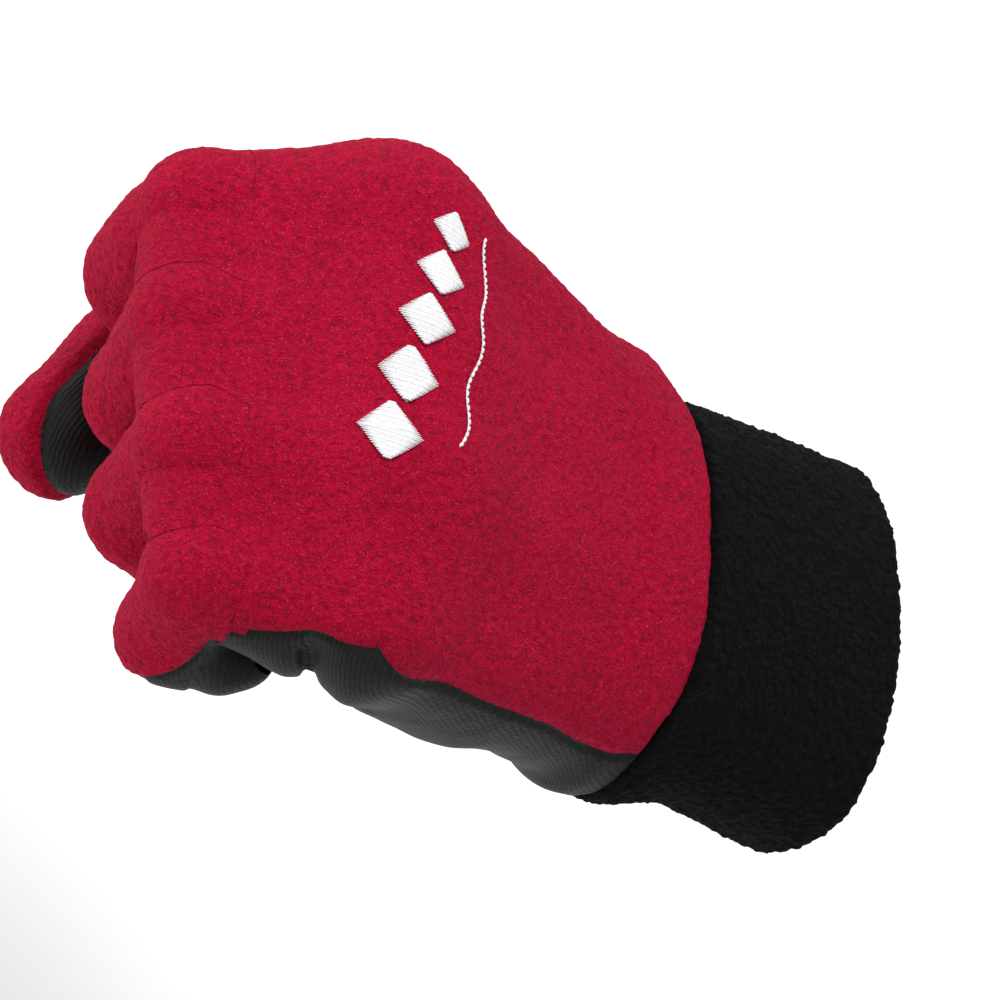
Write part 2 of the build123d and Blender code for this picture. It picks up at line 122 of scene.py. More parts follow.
# ------------------------------------------------------------------ noise (fixed seeds)
_rng = np.random.RandomState(11)
_PERM = np.concatenate([_rng.permutation(256)] * 3)
_GRAD = _rng.normal(size=(256, 3))
_GRAD /= np.linalg.norm(_GRAD, axis=1)[:, None]
_CELL = _rng.uniform(0.12, 0.88, size=(256, 3))


def _hash(i, j, k):
    return _PERM[_PERM[_PERM[i & 255] + (j & 255)] + (k & 255)]


def noise(P, size, seed=0):
    q = P / size + seed * 17.31
    i = np.floor(q).astype(int)
    f = q - i
    u = f * f * f * (f * (f * 6 - 15) + 10)
    out = 0
    for a in (0, 1):
        for b in (0, 1):
            for c in (0, 1):
                g = _GRAD[_hash(i[:, 0] + a, i[:, 1] + b, i[:, 2] + c)]
                v = (g * (f - [a, b, c])).sum(1)
                w = (u[:, 0] if a else 1 - u[:, 0]) * (u[:, 1] if b else 1 - u[:, 1]) * (u[:, 2] if c else 1 - u[:, 2])
                out = out + v * w
    return out * 1.6


def cells(P, size, seed=0):
    """Distance to the nearest and second nearest cell point, in cells."""
    q = P / size + seed * 7.7
    i = np.floor(q).astype(int)
    f1 = np.full(len(P), 9.0)
    f2 = np.full(len(P), 9.0)
    for a in (-1, 0, 1):
        for b in (-1, 0, 1):
            for c in (-1, 0, 1):
                j = i + [a, b, c]
                p = j + _CELL[_hash(j[:, 0], j[:, 1], j[:, 2])]
                d = np.sqrt(((p - q) ** 2).sum(1))
                f2 = np.minimum(np.maximum(d, f1), f2)
                f1 = np.minimum(d, f1)
    return f1, f2


def step01(x, a, b):
    t = np.clip((x - a) / (b - a), 0, 1)
    return t * t * (3 - 2 * t)


RIGHT = unit(vec(0.563, 0.073, 0.823))
UP = unit(vec(-0.476, 0.843, 0.251) - RIGHT * (vec(-0.476, 0.843, 0.251) @ RIGHT))
BACK = np.cross(RIGHT, UP)


# ------------------------------------------------------------------ distance fields
def cone(P, a, b, ra, rb):
    ab = (b - a).astype(P.dtype)
    q = P - a.astype(P.dtype)
    t = np.clip(q @ ab / (ab @ ab), 0, 1)
    q = q - t[:, None] * ab
    return np.sqrt(np.einsum("ij,ij->i", q, q)) - (ra + t * (rb - ra))


def smin(a, b, k):
    h = np.maximum(k - np.abs(a - b), 0) / k
    return np.minimum(a, b) - h * h * k / 4


def oval(P, s0, s1, w0, d0, w1, d1):
    """Oval sleeve along the cuff axis, from s0 to s1 inwards."""
    s = -(P @ A.astype(P.dtype))
    t = np.clip((s - s0) / (s1 - s0), 0, 1)
    w, d = w0 + (w1 - w0) * t, d0 + (d1 - d0) * t
    y, z = P @ ACROSS.astype(P.dtype), P @ DEEP.astype(P.dtype)
    k0 = (np.abs(y / w) ** 2.35 + np.abs(z / d) ** 2.35 + 1e-9) ** (1 / 2.35)
    rad = np.sqrt(y * y + z * z) + 1e-6
    side = (k0 - 1) * rad / k0 * 0.9
    ends = np.maximum(s0 - s, s - s1)
    return np.maximum(side, ends)


def swell(P):
    """The heel of the hand pushes the seam end of the cuff out on the little-finger side of the palm."""
    s = -(P @ A.astype(P.dtype))
    u = np.arctan2(P @ DEEP.astype(P.dtype) / 0.7, P @ ACROSS.astype(P.dtype))
    off = (np.degrees(u) - 212 + 180) % 360 - 180
    return 5.6 * step01(s, 23.0, 41.0) * (1 - step01(s, 46.0, 56.0)) * (1 - step01(np.abs(off), 6.0, 58.0))


def web(P):
    """The sheet over the finger roots as one thick slab from the knuckle row to the middle joints."""
    order = NAMES[::-1]
    ys = np.array([PIP[f][1] for f in order])
    u = np.clip(P[:, 1], ys[0], ys[-1])
    a = np.stack([np.interp(u, ys, [MCP[f][i] for f in order]) for i in (0, 2)], 1)
    b = np.stack([np.interp(u, ys, [PIP[f][i] + D1[i] * 0.5 for f in order]) for i in (0, 2)], 1)
    ra = np.interp(u, ys, [R_MCP[f] for f in order])
    rb = np.interp(u, ys, [R_PIP[f] for f in order])
    ab = b - a
    q = P[:, [0, 2]] - a
    t = np.clip((q * ab).sum(1) / (ab * ab).sum(1), 0, 1)
    q = q - t[:, None] * ab
    off = P[:, 1] - u
    return (np.sqrt((q * q).sum(1) + off * off) - (ra + (rb - ra) * t - 0.2 - 1.1 * t * t)).astype(P.dtype)


CUT = 5.2                                 # finger pieces start this far before the middle joint
THUMB_CUT = TB - TD0 * 12.5


def palm_field(P):
    """Hand and finger roots, one smooth sheet over the back, lobes at the middle joints."""
    ahead = (P - KN.astype(P.dtype)) @ D1.astype(P.dtype)
    wide = {"index": 14.4, "middle": 5.0, "ring": -5.0, "little": -13.3}
    hand = None
    for f in NAMES:
        c = cone(P, WRIST + vec(4, wide[f], -6), MCP[f], 22.0, R_MCP[f])
        hand = c if hand is None else smin(hand, c, 9.0)
    fingers = None
    k = 0.8 + 11.0 * (1 - step01(ahead, 8.0, 29.0))
    for f in NAMES:
        c = cone(P, MCP[f], PIP[f], R_MCP[f], R_PIP[f])
        fingers = c if fingers is None else smin(fingers, c, k)
    fingers = smin(fingers, web(P), 1.4)
    d = smin(hand, fingers, 7.0)
    root = cone(P, TR, TB, 15.5, 13.6)
    pad = cone(P, WRIST + vec(-30, -22, -13), WRIST + vec(-62, -34, -14), 14.0, 11.0)
    heel = cone(P, WRIST + vec(-26, 14, -14), WRIST + vec(-46, 26, -24), 16.0, 14.0)
    d = smin(d, root, 9.0)
    d = smin(d, heel, 8.0)
    d = smin(d, pad, 6.0)
    fold = cone(P, WRIST + vec(-68.9, -42.1, -23.6), WRIST + vec(-65.6, -28.1, -26.1), 6.2, 6.5)
    d = smin(d, fold, 1.4)
    d = smin(d, cone(P, WRIST + vec(-38.5, -31.1, -13.0), WRIST + vec(-54.1, -35.5, -12.7), 15.4, 15.0), 4.0)
    d = smin(d, cone(P, WRIST + vec(2.7, -22.1, -9.8), WRIST + vec(-5.3, -23.8, -8.3), 14.2, 12.0), 7.0)
    d = smin(d, cone(P, WRIST + vec(-10.3, 27.7, -0.4), WRIST + vec(-18.2, 26.3, -0.6), 12.0, 11.0), 7.0)
    neck = oval(P, CUFF_LEN - 4, CUFF_LEN + 14, 34.8, 22.5, 34.4, 22.5) - swell(P)
    q = P - WRIST.astype(P.dtype)
    side = (q @ RIGHT.astype(P.dtype))
    deep = step01(-(q @ UP.astype(P.dtype)), 5.5, 11.0) * step01(q @ BACK.astype(P.dtype), 26.0, 42.0)
    crease = 2.5 * np.exp(-((side + 57.4) / 3.6) ** 2) + 1.7 * np.exp(-((side + 57.4) / 0.95) ** 2)
    d = smin(d, neck, 7.0) + crease * deep                # the palm folds under the little finger
    s = -(P @ A.astype(P.dtype))
    y, z = P @ ACROSS.astype(P.dtype), P @ DEEP.astype(P.dtype)
    k0 = (np.abs(y / 34.9) ** 2.35 + np.abs(z / 22.6) ** 2.35 + 1e-9) ** (1 / 2.35)
    sleeve = (k0 - 1) * np.sqrt(y * y + z * z) / k0 * 0.9 - swell(P)
    free = step01(s, CUFF_LEN - 1.5, CUFF_LEN + 8.0)
    return sleeve + (d - sleeve) * free + 0.55


NUDGE = {"index": vec(0.61, -0.01, 0.80), "middle": vec(0.6, 0.2, 0.4), "ring": vec(0.48, 0.43, 1.09), "little": vec(1.23, -0.56, 1.03)}
R_MID = {"index": 11.3, "middle": 10.7, "ring": 10.5, "little": 9.9}
R_TIP = {"index": 10.8, "middle": 10.4, "ring": 10.2, "little": 8.9}


def finger_points(f):
    a2 = FOLD + FLEX[f]
    a3 = a2 + DIP[f]
    p1 = PIP[f]
    p2 = p1 + direction(a2) * MID_LEN[f]
    p3 = p2 + direction(a3) * TIP_LEN[f]
    return p1, p2, p3, a2, a3


def finger_field(f):
    p1, p2, p3, a2, a3 = finger_points(f)
    r = R_PIP[f]

    def field(P):
        d = cone(P, MCP[f], p1, R_MCP[f], r)
        q2, q3 = p2 + NUDGE[f], p3 + NUDGE[f]
        d = smin(d, cone(P, p1, q2, r, R_MID[f]), 1.6)
        d = smin(d, cone(P, q2, q3, R_MID[f], R_TIP[f]), 2.5)
        if f == "index":
            d = smin(d, cone(P, WRIST + vec(-100.6, 21.1, -30.8), WRIST + vec(-98.1, 21.9, -34.6), 11.9, 11.6), 2.0)
        if f == "little":
            d = smin(d, cone(P, q3, q3 + vec(3.60, 0.28, 3.10), 7.6, 6.9), 2.0)
        return d + 0.55
    return field


def thumb_field(P):
    d = cone(P, TR, TB, 15.2, 13.4)
    d = smin(d, cone(P, TB, TM, 13.4, R_THUMB), 4.0)
    return smin(d, cone(P, TM, TT, R_THUMB, R_THUMB - 0.7), 3.0) + 0.4


# ------------------------------------------------------------------ surfaces from the fields
def surface(field, lo, hi, h):
    lo, hi = np.asarray(lo, float), np.asarray(hi, float)
    n = np.ceil((hi - lo) / h).astype(int)
    n = ((n + 3) // 4) * 4 + 1
    coarse = [np.arange(0, m, 4) for m in n]
    ax = [lo[i] + np.arange(n[i]) * h for i in range(3)]
    G = np.stack(np.meshgrid(*[ax[i][coarse[i]] for i in range(3)], indexing="ij"), -1).reshape(-1, 3).astype(np.float32)
    C = field(G).reshape([len(c) for c in coarse])
    far = 3.2 * h
    near = np.abs(C) < 4 * h * 1.9
    fill = np.where(C < 0, -far, far).astype(np.float32)
    rep = [np.clip((np.arange(m) + 2) // 4, 0, len(c) - 1) for m, c in zip(n, coarse)]
    D = fill[np.ix_(*rep)].copy()
    mask = near[np.ix_(*rep)]
    idx = np.argwhere(mask)
    vals = np.empty(len(idx), np.float32)
    for s in range(0, len(idx), 400000):
        b = idx[s:s + 400000]
        vals[s:s + 400000] = field((lo + b * h).astype(np.float32))
    D[mask] = np.clip(vals, -far, far)
    grid = vdb.FloatGrid(float(far))
    grid.copyFromArray(np.ascontiguousarray(D, np.float32))
    pts, _, quads = grid.convertToPolygons(0.0, 0.0)
    V = pts.astype(float) * h + lo
    q = quads.astype(int)
    d1 = ((V[q[:, 0]] - V[q[:, 2]]) ** 2).sum(1)
    d2 = ((V[q[:, 1]] - V[q[:, 3]]) ** 2).sum(1)
    s = (d1 <= d2)[:, None]
    F = np.concatenate([np.where(s, q[:, [0, 1, 2]], q[:, [0, 1, 3]]), np.where(s, q[:, [0, 2, 3]], q[:, [1, 2, 3]])])
    return project(field, V), F


def slope(field, V, e=0.15):
    g = np.stack([field(V + o) - field(V - o) for o in np.eye(3) * e], 1)
    return g / (np.linalg.norm(g, axis=1)[:, None] + 1e-9)


def project(field, V, times=2):
    for _ in range(times):
        V = V - slope(field, V) * np.clip(field(V), -1, 1)[:, None]
    return V


def refine(V, F, f, snap=0.22):
    """Cuts the triangles along f = 0, and returns the new mesh. Points close to the line move onto it."""
    E = np.sort(np.concatenate([F[:, [0, 1]], F[:, [1, 2]], F[:, [2, 0]]]), 1)
    E = np.unique(E, axis=0)
    c = f[E[:, 0]] * f[E[:, 1]] < 0
    e = E[c]
    t = f[e[:, 0]] / (f[e[:, 0]] - f[e[:, 1]])
    V, f = V.copy(), f.copy()
    best = np.full(len(V), 9.0)
    for side, tt in ((0, t), (1, 1 - t)):
        o = np.argsort(-tt)
        o = o[tt[o] < snap]
        if len(o) == 0:
            continue
        a, b = e[o, side], e[o, 1 - side]
        better = tt[o] < best[a]
        a, b, w = a[better], b[better], tt[o][better]
        V[a] = V[a] * (1 - w)[:, None] + V[b] * w[:, None]
        best[a] = w
        f[a] = 0.0
    c = f[E[:, 0]] * f[E[:, 1]] < 0
    e = E[c]
    t = f[e[:, 0]] / (f[e[:, 0]] - f[e[:, 1]])
    new = V[e[:, 0]] * (1 - t)[:, None] + V[e[:, 1]] * t[:, None]
    n0 = len(V)
    key = e[:, 0].astype(np.int64) * (n0 + 1) + e[:, 1]
    order = np.argsort(key)
    skey = key[order]

    def mid(a, b):
        k = np.minimum(a, b).astype(np.int64) * (n0 + 1) + np.maximum(a, b)
        return order[np.searchsorted(skey, k)] + n0

    s = np.sign(f)[F]
    out = []
    whole = ~((s.max(1) > 0) & (s.min(1) < 0))
    out.append(F[whole])
    G, s = F[~whole], s[~whole]
    zero = (s == 0).any(1)
    Z, sz = G[zero], s[zero]
    if len(Z):                      # one corner on the line: two triangles
        r = np.argmax(sz == 0, 1)
        a, b, c3 = (Z[np.arange(len(Z)), (r + i) % 3] for i in range(3))
        m = mid(b, c3)
        out += [np.stack([a, b, m], 1), np.stack([a, m, c3], 1)]
    G, s = G[~zero], s[~zero]
    if len(G):                      # one corner alone: three triangles
        lone = np.where((s.sum(1) < 0)[:, None], s > 0, s < 0)
        r = np.argmax(lone, 1)
        a, b, c3 = (G[np.arange(len(G)), (r + i) % 3] for i in range(3))
        m1, m2 = mid(a, b), mid(a, c3)
        out += [np.stack([a, m1, m2], 1), np.stack([m1, b, c3], 1), np.stack([m1, c3, m2], 1)]
    return np.concatenate([V, new]), np.concatenate(out)


def vertex_normals(V, F):
    fn = np.cross(V[F[:, 1]] - V[F[:, 0]], V[F[:, 2]] - V[F[:, 0]])
    N = np.zeros_like(V)
    for i in range(3):
        for k in range(3):
            N[:, k] += np.bincount(F[:, i], fn[:, k], len(V))
    return N / (np.linalg.norm(N, axis=1)[:, None] + 1e-12)


def make(name, V, F, material, smooth=True):
    me = bpy.data.meshes.new(name)
    me.vertices.add(len(V))
    me.vertices.foreach_set("co", (np.asarray(V, float) * 0.001).astype(np.float32).ravel())
    F = np.asarray(F)
    k = F.shape[1]
    me.loops.add(F.size)
    me.loops.foreach_set("vertex_index", F.astype(np.int32).ravel())
    me.polygons.add(len(F))
    me.polygons.foreach_set("loop_start", (np.arange(len(F)) * k).astype(np.int32))
    me.polygons.foreach_set("use_smooth", np.full(len(F), smooth))
    me.update(calc_edges=True)
    me.validate()
    ob = bpy.data.objects.new(name, me)
    bpy.context.scene.collection.objects.link(ob)
    me.materials.append(material)
    return ob


def shell(name, V, F, N, NB, keep, thick, material):
    """One closed panel: the kept triangles, an inner wall thick mm below, and the rim between."""
    F = F[keep]
    used = np.unique(F)
    index = np.full(len(V), -1)
    index[used] = np.arange(len(used))
    F = index[F]
    V, N, NB = V[used], N[used], NB[used]
    n = len(V)
    E = np.concatenate([F[:, [0, 1]], F[:, [1, 2]], F[:, [2, 0]]])
    key = np.minimum(E[:, 0], E[:, 1]).astype(np.int64) * n + np.maximum(E[:, 0], E[:, 1])
    _, first, count = np.unique(key, return_index=True, return_counts=True)
    edge = E[first[count == 1]]
    inner = V - NB * thick
    P = np.concatenate([V, inner, V[edge[:, 0]] * 0, ])[: 2 * n]
    T = np.concatenate([F, F[:, ::-1] + n,
                        np.stack([edge[:, 1], edge[:, 0], edge[:, 0] + n], 1),
                        np.stack([edge[:, 1], edge[:, 0] + n, edge[:, 1] + n], 1)])
    ob = make(name, P, T, material)
    me = ob.data
    nn = np.concatenate([N, -N]).astype(np.float32)
    if len(me.vertices) == len(nn):
        me.normals_split_custom_set_from_vertices(nn)
    return ob


# ------------------------------------------------------------------ materials
def new_material(name):
    m = bpy.data.materials.new(name)
    m.use_nodes = True
    nt = m.node_tree
    return m, nt, nt.nodes["Principled BSDF"]


def coords(nt, scale=1000.0):
    tc = nt.nodes.new("ShaderNodeTexCoord")
    mp = nt.nodes.new("ShaderNodeMapping")
    mp.inputs["Scale"].default_value = (scale,) * 3
    nt.links.new(tc.outputs["Object"], mp.inputs["Vector"])
    return mp.outputs["Vector"]


def tex_noise(nt, co, size, detail=2.0, rough=0.5, distort=0.0):
    t = nt.nodes.new("ShaderNodeTexNoise")
    t.inputs["Scale"].default_value = 1.0 / size
    t.inputs["Detail"].default_value = detail
    t.inputs["Roughness"].default_value = rough
    t.inputs["Distortion"].default_value = distort
    nt.links.new(co, t.inputs["Vector"])
    return t.outputs["Fac"]


def ramp(nt, fac, stops):
    r = nt.nodes.new("ShaderNodeValToRGB")
    while len(r.color_ramp.elements) < len(stops):
        r.color_ramp.elements.new(0.5)
    for e, (p, c) in zip(r.color_ramp.elements, stops):
        e.position = p
        e.color = (*c, 1) if len(c) == 3 else c
    nt.links.new(fac, r.inputs["Fac"])
    return r.outputs["Color"]


def mix(nt, fac, a, b, blend="MIX"):
    m = nt.nodes.new("ShaderNodeMix")
    m.data_type = "RGBA"
    m.blend_type = blend
    for s, v in (("Factor", fac),):
        if isinstance(v, (int, float)):
            m.inputs[0].default_value = v
        else:
            nt.links.new(v, m.inputs[0])
    for i, v in ((6, a), (7, b)):
        if isinstance(v, tuple):
            m.inputs[i].default_value = (*v, 1)
        else:
            nt.links.new(v, m.inputs[i])
    return m.outputs[2]


def math_node(nt, op, a, b=None, c=None):
    m = nt.nodes.new("ShaderNodeMath")
    m.operation = op
    for i, v in enumerate((a, b, c)):
        if v is None:
            continue
        if isinstance(v, (int, float)):
            m.inputs[i].default_value = v
        else:
            nt.links.new(v, m.inputs[i])
    return m.outputs[0]


def bump(nt, height, distance_mm, strength, below=None):
    b = nt.nodes.new("ShaderNodeBump")
    b.inputs["Distance"].default_value = distance_mm * 0.001
    b.inputs["Strength"].default_value = strength
    nt.links.new(height, b.inputs["Height"])
    if below is not None:
        nt.links.new(below, b.inputs["Normal"])
    return b.outputs["Normal"]


def turned_coords(nt, rows, stretch):
    """Object coordinates in mm, turned on to three given directions, drawn out along the third."""
    tc = nt.nodes.new("ShaderNodeTexCoord")
    a = nt.nodes.new("ShaderNodeMapping")
    a.inputs["Rotation"].default_value = tuple(Matrix([list(r) for r in rows]).to_euler("XYZ"))
    nt.links.new(tc.outputs["Object"], a.inputs["Vector"])
    b = nt.nodes.new("ShaderNodeMapping")
    b.inputs["Scale"].default_value = (1000.0, 1000.0, 1000.0 / stretch)
    nt.links.new(a.outputs["Vector"], b.inputs["Vector"])
    return b.outputs["Vector"]


def fleece_material(name, deep, body, light):
    m, nt, bsdf = new_material(name)
    co = turned_coords(nt, (RIGHT, UP, BACK), 1.7)            # the pile stands up out of the back of the hand
    clump = tex_noise(nt, co, 1.15, 3.0, 0.62, 0.2)
    fibre = tex_noise(nt, co, 0.36, 2.0, 0.65, 0.4)
    broad = tex_noise(nt, co, 14.0, 2.0, 0.5)
    # random mottle and painted shade: the colour darkens towards deep where the clump noise, which also sets the bump
    # height, is low in the pile
    c = ramp(nt, clump, [(0.30, deep), (0.60, body)])
    speck = ramp(nt, fibre, [(0.57, (0, 0, 0)), (0.74, (1, 1, 1))])
    f = math_node(nt, "MULTIPLY", speck, 0.50)
    c = mix(nt, f, c, light)
    shade = ramp(nt, broad, [(0.3, (0.93, 0.93, 0.93)), (0.7, (1.03, 1.03, 1.03))])
    c = mix(nt, 1.0, c, shade, "MULTIPLY")
    nt.links.new(c, bsdf.inputs["Base Color"])
    h = math_node(nt, "MULTIPLY_ADD", clump, 1.0, math_node(nt, "MULTIPLY", fibre, 0.55))
    nt.links.new(bump(nt, h, 1.25, 1.0), bsdf.inputs["Normal"])
    r = ramp(nt, fibre, [(0.3, (0.86,) * 3), (0.8, (0.98,) * 3)])
    nt.links.new(r, bsdf.inputs["Roughness"])
    bsdf.inputs["Specular IOR Level"].default_value = 0.10
    bsdf.inputs["Sheen Weight"].default_value = 0.16
    bsdf.inputs["Sheen Roughness"].default_value = 0.55
    bsdf.inputs["Sheen Tint"].default_value = (1.0, 0.08, 0.24, 1)
    return m


def wave(nt, co, period, distortion, feature, axis="X"):
    """Wavy bands of the given period in mm, bent by noise of the given size."""
    w = nt.nodes.new("ShaderNodeTexWave")
    w.wave_type = "BANDS"
    w.bands_direction = axis
    w.inputs["Scale"].default_value = 0.3142 / period
    w.inputs["Distortion"].default_value = distortion
    w.inputs["Detail"].default_value = 1.0
    w.inputs["Detail Scale"].default_value = period / (0.3142 * feature)
    nt.links.new(co, w.inputs["Vector"])
    return w.outputs["Fac"]


def leather_material(name):
    """Synthetic leather embossed with rows of short wavy dashes, with painted shade darkening the grooves of the
    grain.
    """
    m, nt, bsdf = new_material(name)
    row = unit(vec(0.42, -0.48, 0.77))
    run = unit(np.cross(row, vec(0, 0.8, 0.6)))
    co = turned_coords(nt, (row, run, np.cross(row, run)), 1.0)
    rows = wave(nt, co, 0.78, 2.4, 2.2, "X")
    dash = wave(nt, co, 1.9, 5.0, 1.3, "Y")
    fine = tex_noise(nt, co, 0.30, 2.0)
    broad = tex_noise(nt, co, 9.0, 3.0)
    h = math_node(nt, "MULTIPLY", rows, math_node(nt, "MULTIPLY_ADD", dash, 0.55, 0.45))
    tone = ramp(nt, broad, [(0.3, (0.0065, 0.0065, 0.007)), (0.7, (0.0115, 0.0115, 0.012))])
    # painted shade: the base colour is darkened where the embossed grain is low, in its grooves
    painted_groove_shade = ramp(nt, h, [(0.06, (1, 1, 1)), (0.45, (0, 0, 0))])
    c = mix(nt, math_node(nt, "MULTIPLY", painted_groove_shade, 0.55), tone, (0.0035, 0.0035, 0.004))
    nt.links.new(c, bsdf.inputs["Base Color"])
    hh = math_node(nt, "MULTIPLY_ADD", h, 1.0, math_node(nt, "MULTIPLY", fine, 0.18))
    nt.links.new(bump(nt, hh, 0.14, 0.85), bsdf.inputs["Normal"])
    r = math_node(nt, "MULTIPLY_ADD", broad, 0.18, math_node(nt, "MULTIPLY_ADD", fine, 0.14, 0.42))
    nt.links.new(r, bsdf.inputs["Roughness"])
    bsdf.inputs["Specular IOR Level"].default_value = 0.19
    return m


def boa_material(name):
    m, nt, bsdf = new_material(name)
    co = turned_coords(nt, (RIGHT, UP, BACK), 1.5)
    curl = nt.nodes.new("ShaderNodeTexVoronoi")
    curl.inputs["Scale"].default_value = 0.80
    nt.links.new(co, curl.inputs["Vector"])
    fibre = tex_noise(nt, co, 0.65, 3.0, 0.65, 1.6)
    c = ramp(nt, fibre, [(0.36, (0.0008, 0.0008, 0.001)), (0.56, (0.0040, 0.0040, 0.0044)), (0.72, (0.022, 0.022, 0.023))])
    # painted shade: the colour darkens towards the cell edges, in the low hollows between the curls
    painted_curl_shade = ramp(nt, curl.outputs["Distance"], [(0.30, (0, 0, 0)), (0.75, (1, 1, 1))])
    c = mix(nt, math_node(nt, "MULTIPLY", painted_curl_shade, 0.7), c, (0.0008, 0.0008, 0.001))
    nt.links.new(c, bsdf.inputs["Base Color"])
    h = math_node(nt, "SUBTRACT", math_node(nt, "MULTIPLY", fibre, 1.0), math_node(nt, "MULTIPLY", curl.outputs["Distance"], 0.9))
    nt.links.new(bump(nt, h, 1.4, 1.0), bsdf.inputs["Normal"])
    r = ramp(nt, fibre, [(0.3, (0.86,) * 3), (0.8, (0.97,) * 3)])
    nt.links.new(r, bsdf.inputs["Roughness"])
    bsdf.inputs["Specular IOR Level"].default_value = 0.10
    bsdf.inputs["Sheen Weight"].default_value = 0.022
    bsdf.inputs["Sheen Roughness"].default_value = 0.5
    bsdf.inputs["Sheen Tint"].default_value = (0.6, 0.6, 0.65, 1)
    return m


def plain_cloth(name, a, b, size, rough, sheen):
    m, nt, bsdf = new_material(name)
    co = coords(nt)
    n = tex_noise(nt, co, size, 3.0, 0.6)
    nt.links.new(ramp(nt, n, [(0.3, a), (0.7, b)]), bsdf.inputs["Base Color"])
    nt.links.new(bump(nt, n, size * 0.4, 0.7), bsdf.inputs["Normal"])
    bsdf.inputs["Roughness"].default_value = rough
    bsdf.inputs["Sheen Weight"].default_value = sheen
    bsdf.inputs["Specular IOR Level"].default_value = 0.25
    return m


RED = fleece_material("fleece_crimson", (0.27, 0.0, 0.014), (0.485, 0.0, 0.029), (0.84, 0.085, 0.17))
LEATHER = leather_material("leather_embossed")
BOA = boa_material("boa_pile")
LINING = plain_cloth("lining_tricot", (0.010, 0.010, 0.011), (0.030, 0.030, 0.032), 0.7, 0.85, 0.2)
ELASTIC = plain_cloth("elastic_braid", (0.012, 0.012, 0.012), (0.05, 0.05, 0.05), 0.5, 0.7, 0.0)
THREAD = plain_cloth("satin_thread", (0.72, 0.72, 0.74), (0.90, 0.90, 0.91), 0.35, 0.42, 0.15)
BACKING = plain_cloth("backing", (0.5, 0.5, 0.5), (0.7, 0.7, 0.7), 0.6, 0.9, 0.0)

# ------------------------------------------------------------------ seam lines between fleece and leather
PAD1 = unit(TD2 - TD1 * (TD2 @ TD1))
PAD2 = unit(-TD1 + TD2 * (TD1 @ TD2))
THUMB_LINE = [(TR, unit(vec(0.05, 0.80, 0.60))), (TB, unit(vec(0.22, 0.95, -0.10))), (TM, -unit(PAD1 + PAD2)), (TT, -PAD2)]


def thumb_side(P):
    """mm towards the back of the thumb from its middle line, and distance along."""
    best = np.full(len(P), 1e9)
    g = np.zeros(len(P))
    for (a, na), (b, nb) in zip(THUMB_LINE[:-1], THUMB_LINE[1:]):
        ab = b - a
        t = np.clip((P - a) @ ab / (ab @ ab), 0, 1)
        c = a + t[:, None] * ab
        d = np.linalg.norm(P - c, axis=1)
        n = na + (nb - na) * t[:, None]
        v = ((P - c) * n).sum(1) / np.linalg.norm(n, axis=1)
        use = d < best
        best = np.where(use, d, best)
        g = np.where(use, v, g)
    return g, best


def bent(P, p, a_in, a_out):
    """Height above a mid-line that bends at p from direction a_in to a_out."""
    n_in, n_out = normal(a_in), normal(a_out)
    half = direction((a_in + a_out) / 2)
    ahead = (P - p) @ half > 0
    return np.where(ahead, (P - p) @ n_out, (P - p) @ n_in), ahead


def hand_seam(P):
    h, ahead = bent(P, KN, 0.0, FOLD)
    x = (P - WRIST)[:, 0]
    ulnar = step01(-P[:, 1], -5.0, 25.0)
    d1 = (P - KN) @ D1
    rise = np.interp(-x, [0, 20, 45, 66, 77.5], [2.6, 2.6, 2.3, 3.2, 4.4])
    rise = np.where(ahead, np.interp(d1, [-4, 8, 20, 30], [4.5, 2.6, -2.5, -4.6]), rise)
    g = h + 4.0 * (1 - ulnar) - rise * ulnar
    apart = np.min([np.abs(P[:, 1] - PIP[f][1]) for f in NAMES], axis=0)
    inner = (P[:, 1] < PIP["index"][1]) & (P[:, 1] > PIP["little"][1])
    g = g + 9.0 * step01(apart, 5.0, 7.5) * step01(d1, 14.0, 22.0) * np.where(ahead & inner, 1.0, 0.0)
    neck = step01(x, -28, -8)
    g = g * (1 - neck) + (((P - A * 0) @ DEEP) * -1 if DEEP[2] < 0 else ((P) @ DEEP)) * neck - 3.6 * neck
    t, dist = thumb_side(P)
    near = step01(15.0 - dist + 6.0, 0, 9) * step01((P - TR) @ TD0, -4, 14)
    near = near * step01(P[:, 1], 12, 24)
    return g * (1 - near) + (t + 2.0) * near


def finger_seam(f):
    p1, p2, p3, a2, a3 = finger_points(f)

    def g(P):
        h2, ahead2 = bent(P, p2, a2, a3)
        h1, ahead1 = bent(P, p1, FOLD, a2)
        v = np.where(ahead1, h2, h1) + 4.6
        if f == "little":
            past = (P - p2) @ direction(a2 + DIP[f] / 2)
            v = v - 11.0 * step01(past, -5.0, 4.0) * step01(p1[1] - P[:, 1], -4, 3)
        return v
    return g


# ------------------------------------------------------------------ surface relief
def fleece_relief(P, edge):
    """Pile height in mm at a point, edge is its distance to the nearest real seam."""
    roll = -1.25 * (1 - step01(edge, -0.3, 2.6)) ** 1.5
    tuft = 0.20 * noise(P, 1.7, 1) + 0.16 * noise(P, 1.15, 2)
    slow = 0.34 * noise(P, 17.0, 3) + 0.16 * noise(P, 6.5, 4)
    return roll + tuft + slow


def leather_relief(P, edge):
    roll = -0.55 * (1 - step01(edge, 0, 1.8))
    return -0.70 + roll + 0.30 * noise(P, 15.0, 5) + 0.10 * noise(P, 5.0, 6)


